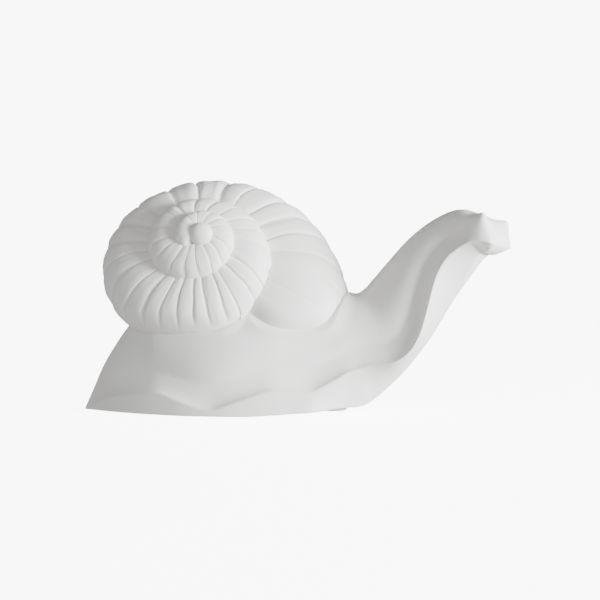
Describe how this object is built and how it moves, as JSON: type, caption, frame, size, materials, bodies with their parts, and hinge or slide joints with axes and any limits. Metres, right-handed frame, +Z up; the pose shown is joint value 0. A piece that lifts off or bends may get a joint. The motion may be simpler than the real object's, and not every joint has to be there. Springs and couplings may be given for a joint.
{
  "type": "snail figurine",
  "caption": "White ceramic snail ornament with a ribbed coiled shell, wavy foot and raised turned head, standing on felt pads.",
  "frame": {"origin": "on the floor under the middle of the whole figure", "axes": "+X the way the snail crawls, +Y to its left, +Z up"},
  "size_m": [0.1964, 0.0596, 0.1081],
  "materials": {
    "bisque": "matte white, unglazed",
    "plug": "soft, matte grey",
    "felt": "pressed felt, pale grey"
  },
  "bodies": {
    "root": {"body": "bisque", "shell": "bisque", "right_tentacle": "bisque", "left_tentacle": "bisque", "drain_plug": "plug", "pad_tail": "felt", "pad_left": "felt", "pad_right": "felt", "pad_front": "felt"}
  },
  "joints": []
}
